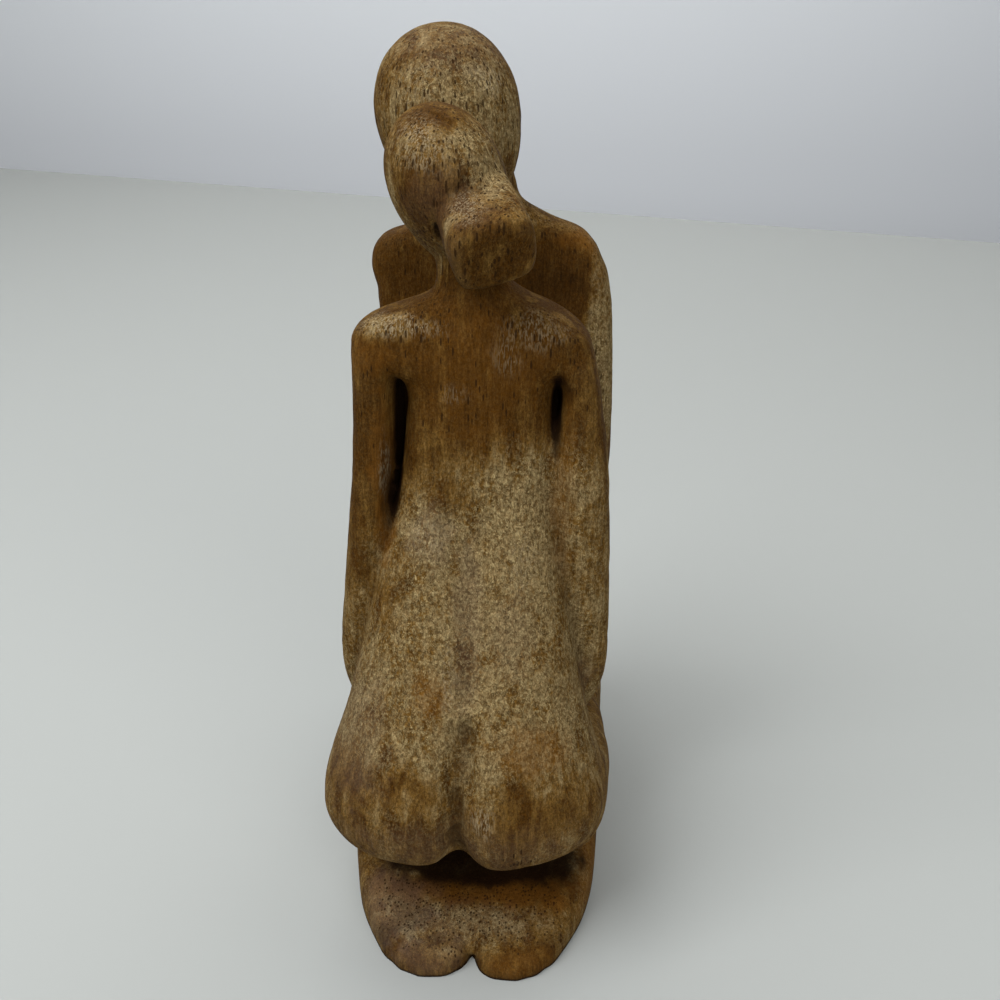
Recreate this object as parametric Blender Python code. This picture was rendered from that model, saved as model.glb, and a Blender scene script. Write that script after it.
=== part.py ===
"""A couple kneeling face to face and kissing, carved from one block of wood.

The woman kneels at -Y with her back to the front view, and the man kneels at +Y, facing her. Their knees meet
and their faces touch over the plane Y = 0. Z is up from the flat underside, and X runs across both figures.

Each figure is described in its own terms: out (backwards, away from the partner), side (along X) and up. All
measures of the carving are shares of the statue's height, given in UNITs, of which the height has 200.
"""

import bmesh
import bpy
import numpy as np

# Driving size
HEIGHT = 0.200
UNIT = HEIGHT / 200

# Fineness of the carved surface
VOXEL = 1.0 * UNIT
SMOOTHING_PASSES = 5
KEPT_FACES = 0.052
AROUND = 56
WOOD_COLOUR = (0.30, 0.18, 0.08, 1.0)

# Puts the middle of the statue's width at X = 0
CENTRING = 0.46


def eased(stations, count):
    """Rows of a table of stations, read at even steps from a smooth curve through them.

    The curve is a cubic between each two stations, and its slope at a station is that of the line between the
    neighbours on both sides of it.
    """
    table = np.array(stations, float)
    at = np.arange(len(table), dtype=float)
    slopes = np.gradient(table, axis=0)
    where = np.linspace(0, len(table) - 1, count)
    low = np.minimum(where.astype(int), len(table) - 2)
    t = (where - at[low])[:, None]
    start, end = table[low], table[low + 1]
    leave, arrive = slopes[low], slopes[low + 1]
    return (
        start * (1 + 2 * t) * (1 - t) ** 2
        + leave * t * (1 - t) ** 2
        + end * t * t * (3 - 2 * t)
        + arrive * t * t * (t - 1)
    )


def rings(centres, first, second, half_first, half_second, squareness=2.0):
    """Rounded rings about centres, each spanned by two directions and two half widths.

    A ring is a superellipse: squareness 2 is an ellipse, and more of it squares the corners.
    """
    turn = np.linspace(0, 2 * np.pi, AROUND, endpoint=False)
    power = 2.0 / np.broadcast_to(squareness, len(centres))[:, None]
    c = np.sign(np.cos(turn)) * np.abs(np.cos(turn)) ** power
    s = np.sign(np.sin(turn)) * np.abs(np.sin(turn)) ** power
    first = np.broadcast_to(first, centres.shape)
    second = np.broadcast_to(second, centres.shape)
    return (
        centres[:, None, :]
        + (np.asarray(half_first)[:, None] * c)[:, :, None] * first[:, None, :]
        + (np.asarray(half_second)[:, None] * s)[:, :, None] * second[:, None, :]
    )


def add_skin(mesh, grid, facing):
    """Adds rings as one closed skin, with a fan over each end, in the statue's own frame."""
    out, side, up = grid[..., 0], grid[..., 1], grid[..., 2]
    points = np.stack([side + CENTRING, facing * out, up], axis=-1) * UNIT
    made = [[mesh.verts.new(p) for p in ring] for ring in points]
    count = len(made[0])
    new = []
    for low, high in zip(made, made[1:]):
        for i in range(count):
            j = (i + 1) % count
            new.append(mesh.faces.new((low[i], low[j], high[j], high[i])))
    for ring, place in ((made[0], points[0]), (made[-1], points[-1])):
        tip = mesh.verts.new(place.mean(axis=0))
        for i in range(count):
            new.append(mesh.faces.new((ring[i], ring[(i + 1) % count], tip)))
    bmesh.ops.recalc_face_normals(mesh, faces=new)


OUT, SIDE, UP = np.eye(3)


def stack(rows, count=90):
    """Grid of level rings. Each row is out, side and up of a ring's centre, its half width, half depth and squareness."""
    out, side, up, wide, deep, square = eased(rows, count).T
    return rings(np.stack([out, side, up], axis=1), SIDE, OUT, wide, deep, square)


def cleft(grid, rows):
    """Presses the valley of the spine and the cleft of the seat into the back of a stack.

    Each row is up, the valley's place along side, its depth and width, and how far it lifts the underside.
    """
    centre = grid.mean(axis=1)
    reach = np.maximum(np.ptp(grid[..., 0], axis=1) / 2, 0.1)[:, None]
    heights, places, depths, widths, lifts = np.array(rows, float).T
    place, depth, width, lift = (
        np.interp(centre[:, 2], heights, values)[:, None] for values in (places, depths, widths, lifts)
    )
    behind = np.clip((grid[..., 0] - centre[:, :1]) / reach, 0, 1)
    off = (grid[..., 1] - place) / width
    pressed = grid.copy()
    pressed[..., 0] -= depth * np.exp(-(off**2)) * behind
    pressed[..., 2] += lift * np.exp(-((off / 1.4) ** 2))
    return pressed


def egg(centre, crown, half_length, half_side, half_front, taper, square=2.0, count=44):
    """Grid of an egg: rings across the line from chin to crown, narrower towards the chin by taper.

    crown is the direction from chin to crown. The rings' first direction is level.
    """
    crown = np.array(crown, float)
    crown /= np.linalg.norm(crown)
    level = np.cross(crown, OUT)
    level /= np.linalg.norm(level)
    front = np.cross(level, crown)
    turn = np.linspace(0.04, np.pi - 0.04, count)
    along = -np.cos(turn)
    swell = np.sin(turn) * (1 + taper * along)
    centres = np.array(centre, float) + (half_length * along)[:, None] * crown
    return rings(centres, level, front, half_side * swell, half_front * swell, square)


def knob(centre, axis, length, half_wide, half_high, roll, count=24, edge=8.0, square=3.4):
    """Grid of a stub with a flat, softly rounded end: its half widths follow a superellipse along the axis.

    roll turns it about the axis, in degrees.
    """
    axis = np.array(axis, float)
    axis /= np.linalg.norm(axis)
    level = np.cross(axis, UP)
    level /= np.linalg.norm(level)
    high = np.cross(level, axis)
    c, s = np.cos(np.radians(roll)), np.sin(np.radians(roll))
    level, high = c * level - s * high, s * level + c * high
    along = np.sin(np.linspace(-np.pi / 2, np.pi / 2, count)) * 0.999
    swell = (1 - np.abs(along) ** edge) ** (1 / edge)
    centres = np.array(centre, float) + (length * along)[:, None] * axis
    return rings(centres, level, high, half_wide * swell, half_high * swell, square)


def limb(rows, across, count=60, square=2.3):
    """Grid of rings along a limb. Each row is out, side, up, and the half widths across it and in the other direction."""
    table = eased(rows, count)
    path = table[:, :3]
    along = np.gradient(path, axis=0)
    along /= np.linalg.norm(along, axis=1)[:, None]
    second = np.broadcast_to(np.array(across, float), path.shape)
    first = np.cross(second, along)
    first /= np.linalg.norm(first, axis=1)[:, None]
    second = np.cross(along, first)
    return rings(path, first, second, table[:, 3], table[:, 4], square)


# Stations of the figures. Rows of a stack: out, side, up, half width, half depth, squareness
HER_TORSO = [
    (35.5, -1.4, 23.4, 2, 2, 2.0),
    (35.5, -1.4, 24.6, 16, 8, 2.2),
    (35.0, -1.4, 27.6, 26.0, 15, 2.4),
    (34.5, -1.4, 32.4, 31.0, 19.2, 2.5),
    (34.0, -1.4, 39.5, 32.8, 21.0, 2.5),
    (33.3, -1.3, 48.0, 31.2, 20.8, 2.4),
    (31.3, -1.2, 60.0, 27.3, 19.0, 2.3),
    (27.3, -1.2, 75.0, 23.8, 16.0, 2.3),
    (22.5, -1.0, 95.0, 20.0, 12.2, 2.5),
    (20.2, -0.1, 110.0, 16.8, 9.6, 2.8),
    (19.4, 0.4, 124.0, 15.4, 8.5, 3.0),
    (19.2, 0.5, 134.0, 15.5, 8.4, 3.0),
    (19.2, -1.8, 138.5, 21.0, 8.4, 3.6),
    (19.3, -1.2, 141.8, 24.0, 8.2, 4.2),
    (19.3, -1.3, 144.8, 23.2, 7.8, 4.6),
    (19.2, -0.8, 147.8, 19.4, 7.3, 4.4),
    (19.0, 0.4, 150.2, 14.2, 6.9, 3.4),
    (18.8, 0.2, 152.4, 9.8, 6.8, 2.4),
    (18.6, -0.8, 154.4, 7.8, 6.8, 2.1),
    (18.2, -1.3, 157.0, 7.1, 6.8, 2.0),
    (17.0, -2.0, 161.0, 7.2, 7.1, 2.0),
    (15.0, -3.4, 167.0, 7.5, 7.5, 2.0),
    (14.5, -4.0, 171.0, 2, 2, 2.0),
]
HIS_TORSO = [
    (35.5, 1.5, 22.2, 2, 2, 2.0),
    (35.5, 1.5, 23.4, 16, 8, 2.2),
    (35.0, 1.5, 26.6, 26, 15, 2.4),
    (34.5, 1.5, 32.0, 30.4, 19.0, 2.5),
    (34.5, 1.2, 39.5, 31.6, 20.4, 2.5),
    (34.0, 1.0, 48.0, 31.2, 20.0, 2.4),
    (32.0, 1.0, 60.0, 28.0, 18.2, 2.3),
    (28.8, 1.0, 75.0, 24.4, 15.2, 2.3),
    (25.6, 1.0, 95.0, 20.8, 12.0, 2.5),
    (24.6, 1.0, 113.0, 18.4, 10.0, 2.8),
    (24.3, 1.0, 130.0, 17.4, 9.4, 3.0),
    (24.3, 1.0, 137.0, 18.0, 9.2, 3.2),
    (24.4, 0.6, 141.5, 26.0, 9.0, 4.2),
    (24.5, 0.1, 145.5, 27.6, 8.8, 5.0),
    (24.5, -0.4, 149.8, 27.2, 8.4, 5.0),
    (24.4, -0.4, 153.6, 25.2, 7.9, 4.2),
    (24.2, 1.4, 156.6, 20.2, 7.6, 3.2),
    (24.0, 1.8, 159.0, 13.4, 7.6, 2.2),
    (23.4, -0.8, 163.0, 8.6, 7.7, 2.0),
    (22.0, -2.4, 168.0, 8.1, 7.9, 2.0),
    (20.0, -4.4, 174.0, 8.2, 8.2, 2.0),
    (19.0, -5.4, 178.0, 2, 2, 2.0),
]
# The sheets of wood that join the arms to the torso in front of the grooves
HER_LEFT_WEB = [
    (18.0, -19.5, 46, 6.0, 5.2, 2.3),
    (19.0, -19.5, 75, 5.5, 6.0, 2.3),
    (18.8, -18.5, 92, 5.0, 5.4, 2.3),
    (17.8, -17.8, 103, 5.5, 5.2, 2.4),
    (15.6, -17.0, 111, 6.0, 3.8, 2.8),
    (14.5, -16.4, 117, 6.5, 3.2, 3.2),
    (14.4, -16.0, 136, 6.5, 3.1, 3.2),
    (15.4, -15.5, 143, 3.0, 2.0, 2.5),
]
HER_RIGHT_WEB = [
    (18.0, 18.5, 46, 6.0, 5.4, 2.3),
    (19.5, 19.5, 75, 6.0, 6.2, 2.3),
    (20.0, 18.6, 96, 6.0, 6.2, 2.3),
    (19.6, 17.4, 113, 6.0, 6.2, 2.3),
    (18.4, 16.8, 123, 6.0, 5.4, 2.5),
    (14.8, 16.4, 130, 6.5, 3.3, 3.2),
    (14.4, 16.0, 139, 6.5, 3.1, 3.2),
    (15.4, 15.5, 145, 3.0, 2.0, 2.5),
]
HIS_WEB = [
    (21.0, 19.5, 46, 6.0, 5.6, 2.3),
    (22.5, 20.0, 75, 6.0, 6.2, 2.3),
    (22.8, 19.4, 98, 6.0, 5.6, 2.4),
    (20.5, 18.8, 112, 6.5, 4.6, 2.8),
    (18.9, 18.6, 122, 6.8, 3.6, 3.2),
    (18.8, 18.4, 140, 6.8, 3.4, 3.2),
    (20.5, 17.5, 148, 3.0, 2.0, 2.5),
]
# Rows of a cleft: up, side, depth, width, lift of the underside
HER_CLEFT = [
    (18, -1.6, 3.6, 4.0, 2.6),
    (28, -1.6, 3.6, 4.0, 2.4),
    (36, -1.7, 2.8, 4.2, 1.0),
    (46, -2.0, 1.8, 5.0, 0),
    (60, -2.2, 1.3, 6.5, 0),
    (85, -1.6, 0.9, 7.0, 0),
    (105, -1.0, 0.4, 6.0, 0),
    (118, -0.5, 0, 6.0, 0),
]
HIS_CLEFT = [
    (18, 1.2, 3.6, 4.0, 2.6),
    (28, 1.2, 3.6, 4.0, 2.4),
    (36, 1.2, 2.8, 4.2, 1.0),
    (46, 1.0, 1.8, 5.0, 0),
    (60, 1.0, 1.2, 6.5, 0),
    (85, 1.0, 0.9, 7.0, 0),
    (110, 1.0, 0.6, 6.0, 0),
    (132, 1.0, 0, 6.0, 0),
]
# Rows of an arm: out, side, up, half depth, half width
HER_LEFT_ARM = [
    (19.5, -20.6, 145.0, 4.0, 3.0),
    (19.5, -20.8, 141.5, 7.4, 4.6),
    (19.6, -21.3, 132.0, 8.0, 4.3),
    (19.8, -21.8, 118.0, 8.0, 4.5),
    (20.2, -22.9, 108.0, 7.9, 4.3),
    (20.5, -23.7, 98.0, 7.6, 4.6),
    (20.8, -25.0, 88.0, 7.2, 4.4),
    (21.0, -26.4, 75.0, 6.4, 4.2),
    (21.0, -26.6, 64.0, 5.6, 4.2),
    (20.0, -24.6, 55.0, 4.4, 3.8),
    (18.0, -21.5, 48.0, 2.5, 2.5),
]
HER_RIGHT_ARM = [
    (19.5, 18.6, 144.0, 4.0, 3.0),
    (19.5, 19.8, 139.5, 7.6, 4.0),
    (19.6, 21.5, 132.0, 8.0, 4.1),
    (19.8, 21.9, 119.0, 8.0, 6.0),
    (20.3, 23.0, 104.0, 7.8, 6.2),
    (20.8, 24.1, 90.0, 7.2, 5.8),
    (21.0, 25.6, 76.0, 6.4, 5.1),
    (21.0, 26.4, 65.0, 5.6, 4.2),
    (20.0, 24.0, 56.0, 4.4, 3.8),
    (18.0, 20.5, 49.0, 2.5, 2.5),
]
HIS_LEFT_ARM = [
    (24.5, -21.5, 151.0, 5.0, 3.0),
    (24.5, -22.0, 147.0, 8.0, 4.7),
    (24.5, -21.8, 141.0, 8.6, 4.8),
    (24.5, -21.7, 134.0, 8.8, 4.7),
    (24.5, -22.4, 122.0, 8.8, 4.6),
    (24.6, -23.4, 105.0, 8.4, 4.6),
    (24.2, -24.8, 90.0, 7.6, 4.3),
    (23.4, -25.8, 77.0, 6.6, 4.2),
    (22.4, -25.6, 66.0, 5.8, 4.2),
    (20.5, -23.4, 57.0, 4.4, 3.8),
    (18.0, -20.0, 49.0, 2.5, 2.5),
]
HIS_RIGHT_ARM = [
    (24.5, 22.5, 151.0, 4.0, 3.0),
    (24.5, 23.6, 147.0, 7.8, 4.4),
    (24.5, 24.8, 141.0, 8.4, 4.6),
    (24.5, 25.6, 134.0, 8.8, 4.6),
    (24.5, 26.4, 122.0, 8.8, 4.7),
    (24.6, 27.0, 105.0, 8.4, 4.7),
    (24.2, 27.4, 90.0, 7.6, 4.4),
    (23.4, 27.6, 77.0, 6.6, 4.4),
    (22.4, 27.0, 66.0, 5.8, 4.4),
    (20.5, 24.4, 57.0, 4.4, 3.8),
    (18.0, 21.0, 49.0, 2.5, 2.5),
]
# Rows of a thigh, of a lower leg with its foot, and of the slab that both feet are left in: out, side, up, half
# width, half height
THIGH = [
    (42, 14.0, 40, 6, 6),
    (37, 15.5, 39, 14.5, 14),
    (26, 16.6, 35, 16.0, 14.0),
    (14, 17.2, 32.5, 15.6, 14.0),
    (5, 17.0, 31, 15.4, 13.8),
    (-2, 16.4, 30, 14.0, 13.2),
    (-7, 16.0, 30, 5, 6),
]
LOWER_LEG = [
    (-7, 16.0, 4, 5, 6),
    (-2, 16.2, 5, 14.0, 13.5),
    (8, 16.2, 4, 15.6, 15),
    (22, 15.5, 2.5, 15.4, 13.5),
    (32, 14.2, 1.8, 14.6, 11.2),
    (40, 12.2, 1.5, 13.3, 8.5),
    (46, 10.6, 1.3, 11.6, 6.5),
    (50.5, 9.2, 1.2, 9.8, 5.2),
    (54.3, 8.6, 1.1, 7.6, 4.0),
    (56.9, 8.4, 1.0, 3.2, 1.4),
]
FEET_SLAB = [
    (-5, 0, 4, 20, 9),
    (10, 0, 4, 29.0, 14.6),
    (23.7, -0.6, 2.6, 30.2, 13.0),
    (32, -0.8, 1.9, 28.4, 11.3),
    (39, -1.0, 1.6, 26.0, 9.0),
    (45, -1.0, 1.4, 22.6, 7.0),
    (49.5, -0.7, 1.2, 18.6, 5.6),
    (52.8, -0.4, 1.1, 14.4, 4.6),
    (54.8, -0.2, 1.0, 8.0, 3.2),
    (55.3, -0.2, 1.0, 3.0, 1.2),
]
BASE_SHIFT = 0.8


def mirrored(rows):
    """The same rows on the other side of the figure."""
    return [(row[0], -row[1], *row[2:]) for row in rows]


def shifted(rows, shift):
    """The same rows moved along side."""
    return [(row[0], row[1] + shift, *row[2:]) for row in rows]


def add_legs(mesh, facing):
    """Two thighs over two lower legs, which end in feet with the soles up, left in one slab."""
    for rows in (THIGH, mirrored(THIGH)):
        add_skin(mesh, limb(shifted(rows, BASE_SHIFT / 2), UP, square=2.8), facing)
    for rows in (LOWER_LEG, mirrored(LOWER_LEG)):
        add_skin(mesh, limb(shifted(rows, BASE_SHIFT), UP, square=3.2), facing)
    add_skin(mesh, limb(shifted(FEET_SLAB, BASE_SHIFT), UP, square=5.0), facing)


def add_woman(mesh):
    """The woman, with her hair in a knob at the back of her head."""
    facing = -1
    add_skin(mesh, cleft(stack(HER_TORSO), HER_CLEFT), facing)
    add_skin(mesh, stack(HER_LEFT_WEB), facing)
    add_skin(mesh, stack(HER_RIGHT_WEB), facing)
    add_legs(mesh, facing)
    add_skin(mesh, limb(HER_LEFT_ARM, SIDE, square=2.5), facing)
    add_skin(mesh, limb(HER_RIGHT_ARM, SIDE, square=2.5), facing)
    add_skin(mesh, egg((14.5, -5.0, 170.2), (0.42, -0.46, 1.0), 17.9, 11.2, 13.7, 0.16), facing)
    add_skin(mesh, knob((26.6, 1.4, 166.4), (0.893, 0.291, -0.347), 9.9, 8.0, 7.0, 15), facing)


def add_man(mesh):
    """The man, a little taller and broader, with a bare head."""
    facing = 1
    add_skin(mesh, cleft(stack(HIS_TORSO), HIS_CLEFT), facing)
    add_skin(mesh, stack(HIS_WEB), facing)
    add_skin(mesh, stack(shifted(mirrored(HIS_WEB), 2.0)), facing)
    add_legs(mesh, facing)
    add_skin(mesh, limb(HIS_LEFT_ARM, SIDE, square=2.8), facing)
    add_skin(mesh, limb(HIS_RIGHT_ARM, SIDE, square=2.8), facing)
    add_skin(mesh, egg((15.8, -8.3, 179.3), (0.15, -0.21, 1.0), 20.9, 15.6, 16.3, 0.14), facing)


def add_kiss(mesh):
    """The mouths, which join the heads."""
    add_skin(mesh, egg((0, -7.0, 170.0), (0, -0.2, 1.0), 6.0, 4.6, 4.5, 0), 1)


def wood():
    """Plain brown wood."""
    material = bpy.data.materials.new("wood")
    material.use_nodes = True
    shader = material.node_tree.nodes["Principled BSDF"]
    shader.inputs["Base Color"].default_value = WOOD_COLOUR
    shader.inputs["Roughness"].default_value = 0.65
    shader.inputs["Metallic"].default_value = 0.0
    return material


def floor_cutter():
    """A block under the floor plane, which cuts the underside flat."""
    mesh = bmesh.new()
    bmesh.ops.create_cube(mesh, size=1.0)
    bmesh.ops.scale(mesh, vec=(0.6 * HEIGHT, 1.0 * HEIGHT, 0.1 * HEIGHT), verts=mesh.verts)
    bmesh.ops.translate(mesh, vec=(0, 0, -0.05 * HEIGHT), verts=mesh.verts)
    data = bpy.data.meshes.new("floor_cutter")
    mesh.to_mesh(data)
    mesh.free()
    cutter = bpy.data.objects.new("floor_cutter", data)
    cutter.hide_render = True
    cutter.display_type = "WIRE"
    bpy.context.scene.collection.objects.link(cutter)
    return cutter


def statue():
    """All the forms in one mesh, which the modifiers fuse into a single skin."""
    mesh = bmesh.new()
    add_woman(mesh)
    add_man(mesh)
    add_kiss(mesh)
    data = bpy.data.meshes.new("kissing_couple")
    mesh.to_mesh(data)
    mesh.free()
    carved = bpy.data.objects.new("kissing_couple", data)
    carved.data.materials.append(wood())
    bpy.context.scene.collection.objects.link(carved)
    fuse = carved.modifiers.new("fuse", "REMESH")
    fuse.mode = "VOXEL"
    fuse.voxel_size = VOXEL
    fuse.use_smooth_shade = True
    sand = carved.modifiers.new("sand", "SMOOTH")
    sand.factor = 0.5
    sand.iterations = SMOOTHING_PASSES
    thin = carved.modifiers.new("thin", "DECIMATE")
    thin.ratio = KEPT_FACES
    level = carved.modifiers.new("level", "BOOLEAN")
    level.operation = "DIFFERENCE"
    level.solver = "EXACT"
    level.object = floor_cutter()
    return carved


def main():
    for old in list(bpy.data.objects):
        bpy.data.objects.remove(old)
    statue()


main()
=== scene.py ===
"""The looks of the wooden kissing couple: a finely carved skin, worn wood and a pale table.

Places on the statue are in millimetres: X runs across both figures, Y from the woman at -Y to
the man at +Y, and Z up from the underside. A figure is also described from its own middle by
out (backwards), side (along X) and up.
"""

import itertools
import math

import bpy
import numpy as np
from mathutils import Matrix, Vector

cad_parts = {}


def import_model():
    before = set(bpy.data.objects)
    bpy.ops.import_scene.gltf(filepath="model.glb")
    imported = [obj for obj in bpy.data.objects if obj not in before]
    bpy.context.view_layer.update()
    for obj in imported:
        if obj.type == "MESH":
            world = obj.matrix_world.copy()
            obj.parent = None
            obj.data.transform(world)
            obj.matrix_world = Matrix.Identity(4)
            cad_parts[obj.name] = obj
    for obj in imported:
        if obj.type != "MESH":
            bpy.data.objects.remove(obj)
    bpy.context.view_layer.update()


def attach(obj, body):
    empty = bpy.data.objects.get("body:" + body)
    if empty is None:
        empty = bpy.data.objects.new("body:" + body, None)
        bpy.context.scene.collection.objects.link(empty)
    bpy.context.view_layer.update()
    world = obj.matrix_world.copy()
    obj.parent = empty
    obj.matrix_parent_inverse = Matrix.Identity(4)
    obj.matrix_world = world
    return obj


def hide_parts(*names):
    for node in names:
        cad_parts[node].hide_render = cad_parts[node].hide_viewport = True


MM = 0.001

# Fineness of the carved skin. FINER is how many rings stand for one of the solid's.
AROUND = 120
FINER = 2.6
STACK_RINGS = 90
LIMB_RINGS = 60
EGG_RINGS = 44
KNOB_RINGS = 24
VOXEL = 0.7
SMOOTHING_PASSES = 7
MOST_TRIANGLES = 188000

# How soft the rim of the hair knob is: higher is sharper
KNOB_RIM = 8.0
KNOB_SQUARENESS = 3.4

# Puts the middle of the statue's width at X = 0
CENTRING = 0.46

OUT, SIDE, UP = np.eye(3)

# Averaging passes that show fine crests and broad hollows
NEAR_PASSES = 6
FAR_PASSES = 60

# Size of the lattice of random numbers, and what keeps places on it above zero
LATTICE = 24
LATTICE_SHIFT = 97.3

# Layers of drift. Rows: size, wavelength in mm, seed.
SKIN_DRIFT = [(0.22, (9, 9, 16), 3), (0.10, 4.2, 4), (0.05, 2.1, 5)]
CUT_DRIFT = [(0.5, 2.5, 6)]
ARCH_DRIFT = [(2.6, 5, 11), (1.3, 1.9, 12)]
WORN_DRIFT = [(0.14, (7, 7, 14), 13), (0.06, 3.4, 14)]
PATCH_DRIFT = [(0.30, 3.0, 21), (0.22, 1.3, 22)]

# Colours of the wood
WAXED = (0.062, 0.025, 0.003, 1)
HALF_BARE = (0.140, 0.073, 0.016, 1)
BARE = (0.240, 0.165, 0.072, 1)
PALE_FIBRE = (0.350, 0.265, 0.125, 1)
DARK_FIBRE = (0.095, 0.050, 0.014, 1)
ORANGE = (0.160, 0.062, 0.008, 1)
GREYED = (0.150, 0.108, 0.085, 1)
# pale chalk, partly a painted highlight
CHALK_AND_HIGHLIGHT_TONE = (0.42, 0.34, 0.21, 1)
# painted shade, with some dirt, in broad hollows
HOLLOW_SHADE_AND_DIRT = (0.030, 0.014, 0.005, 1)
PALE_CREST = (0.300, 0.195, 0.080, 1)
# dirt, and painted shade in gaps, slits, creases and cuts
CAKED_DIRT_AND_SHADE = (0.009, 0.004, 0.002, 1)
DARK_PORE = (0.026, 0.012, 0.004, 1)

# What the fuzz and the grain multiply the colour by, at their darkest and at their palest
FUZZ_RANGE = ((0.66, 0.64, 0.60, 1), (1.34, 1.36, 1.40, 1))
GRAIN_RANGE = ((0.78, 0.77, 0.75, 1), (1.16, 1.16, 1.15, 1))

# The photograph's view, in degrees and metres
VIEW_TILT = 26.7
VIEW_TURN = 1.8
VIEW_ROLL = 1.1
VIEW_PLACE = (0.01171, -0.21470, 0.20470)

# Lamps. Rows: name, place, aim, width in metres, power in watts, colour.
LAMPS = [
    ("window", (-0.45, -0.30, 0.9), (0, 0, 0.08), 0.6, 10, (0.95, 0.97, 1.0)),
    ("fill", (0.5, -0.9, 0.55), (0, 0, 0.1), 0.8, 5.5, (1.0, 1.0, 1.0)),
    ("ceiling", (0.0, 0.65, 1.2), (0, 0.6, 0), 1.4, 13.5, (0.98, 0.99, 1.0)),
]
SKYLIGHT = (0.9, 0.94, 1.0, 1)
SKYLIGHT_STRENGTH = 0.10

# Corners of the stage in metres, and its colours
TABLE = [(-1.6, -1.2, 0), (1.6, -1.2, 0), (1.6, 0.48, 0), (-1.6, 1.327, 0)]
TABLE_COLOUR = (0.372, 0.382, 0.362, 1)
WALL = [(-1.6, 1.36, -0.6), (1.6, 1.36, -0.6), (1.6, 1.36, 1.6), (-1.6, 1.36, 1.6)]
WALL_COLOUR = (0.93, 0.955, 0.975, 1)

# Patches of the patina, with painted shade and painted light where a row says so. Rows: centre x,
# y, z, half sizes x, y, z, strength.
WEAR_SHADE_AND_LIGHT_PATCHES = [
    (-9.7, -27.6, 180.5, 6, 5, 4, 0.10),  # left of her head, partly a painted highlight
    (-7.9, -28, 172, 7, 5, 8, -0.38),  # under it
    (-8, -21, 185, 9, 7, 4, -0.30),  # her crown
    (1.5, -24, 179, 6, 6, 10, 0.50),  # right of her head
    (3.3, 6, 184, 9, 8, 9, 0.46),  # right of his head
    (-12.7, 2, 186, 7, 7, 7, 0.22),  # left of his head
    (-5, 7, 195, 12, 12, 5, 0.05),  # his crown
    (4.4, -36, 162.5, 9, 5, 7, -0.60),  # painted shade on the end of the hair knob
    (-15.4, -26, 146.6, 8, 6, 3, 0.35),  # her left shoulder's top, partly a painted highlight
    (13, -26, 147, 7, 6, 3, 0.15),  # her right shoulder's top
    (0, 16, 146, 32, 9, 13, -0.40),  # his chest and shoulders: darker wood with painted shade under the heads
    (6.7, -27, 142, 3, 3, 3.5, 0.20),
    (-3.6, -27.5, 133.6, 3.5, 3, 2, 0.20),
    (-1, -25, 153, 8, 8, 6, -0.40),  # her neck: darker wood with painted shade
    (0, -27, 138, 17, 6, 11, -0.25),
    (-5, 2, 188, 9, 9, 7, 0.12),
    # painted shade at the border of the dark gap under the seat
    (2, -40, 11, 24, 3.5, 5, -0.45),
    (4, -48, 8, 9, 4, 4, 0.12),
    (-12, -50, 7, 3, 2, 3, 0.25),
    (-19, -41, 10, 4, 3, 3, 0.20),
    (10, -31, 100, 7, 6, 14, 0.15),
    (-4, -30, 111, 5, 4, 4, -0.25),
    (-16, -33, 95, 4, 6, 14, -0.20),
    (-4.2, -42.4, 76, 1.8, 6, 10, 0.25),
    (-1, -30, 170, 6, 4, 5, -0.12),
    (28, 17, 125, 5, 12, 30, 0.80),  # painted light on his right arm's edge
    (23.6, 20.8, 155, 5, 6, 4, 0.30),
    (10, -32, 95, 9, 12, 24, 0.22),  # right of the spine
    (-19, -46, 55, 13, 10, 12, -0.20),  # her left seat
    (-10.4, -52, 52.7, 6, 5, 5, -0.25),  # dark mottles on it
    (16, -50, 46, 13, 8, 9, -0.16),
    (-24.4, -28, 85, 5, 6, 12, -0.12),
    (25.6, -28, 80, 5, 6, 14, 0.05),
    (24, -26, 66, 6, 6, 5, -0.25),  # her right hand
    (2, -44, 9, 16, 8, 5, 0.10),
    (14, -55, 3, 12, 4, 3.4, -0.30),
    (-12, -54, 3, 10, 4, 2.4, -0.15),
    (0, -28, 128, 12, 5, 8, 0.10),  # the middle of her back
    (23, -27, 124, 5, 6, 10, 0.10),
    (-12, -38, 86, 9, 10, 16, -0.12),
]
WARM = [
    (-7.3, -44.4, 71, 4, 5, 5, 0.7),
    (0, -27, 138, 15, 5, 12, 0.4),  # her upper back
    (0, -25, 153, 8, 6, 5, 0.2),
    (0, 16, 146, 32, 9, 12, 0.2),  # his chest
    (2, -40.5, 11, 24, 3.5, 5, 0.8),  # border of the dark under the seat, a reddish painted shade
    (15, -47, 60, 9, 7, 5, 0.7),
    (-18.5, -25, 112, 2.5, 6, 18, 1.0),  # inner border of her left arm, a reddish painted shade where it rounds into the slit
    (19, -26, 112, 2.5, 4, 20, 0.6),  # inner border of her right arm
    (23.6, 20.8, 155, 6, 6, 3, 0.9),
    (-22, -26, 140, 6, 5, 4, 0.4),
    (30, -31, 9, 4, 14, 9, 0.7),  # right edge of the feet
    (15, -54, 3, 12, 4, 3, 0.4),
    (16, -40, 12, 10, 6, 4, 0.8),
]
GREY = [
    (-0.3, -38, 86, 3.2, 10, 22, 0.5),  # along the spine
    (-19, -45, 9, 11, 9, 8, 0.8),  # her left foot
    (2, -48, 9, 14, 5, 4, 0.4),
    (-5, 7, 196, 14, 12, 5, 0.4),
    (-24, -40, 56, 8, 12, 16, 0.5),  # left flank
    (0, -51, 37, 28, 7, 7, 0.35),
    (-4, -30, 170, 10, 6, 8, 0.3),
    (-8.6, -54, 4, 9, 5, 4, 0.5),
    (-8.5, -31, 103, 5, 4, 7, 0.5),
    (9, -38, 83, 5, 8, 9, 0.3),
    (24, -27, 66, 4, 4, 4, 0.6),
]
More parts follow.
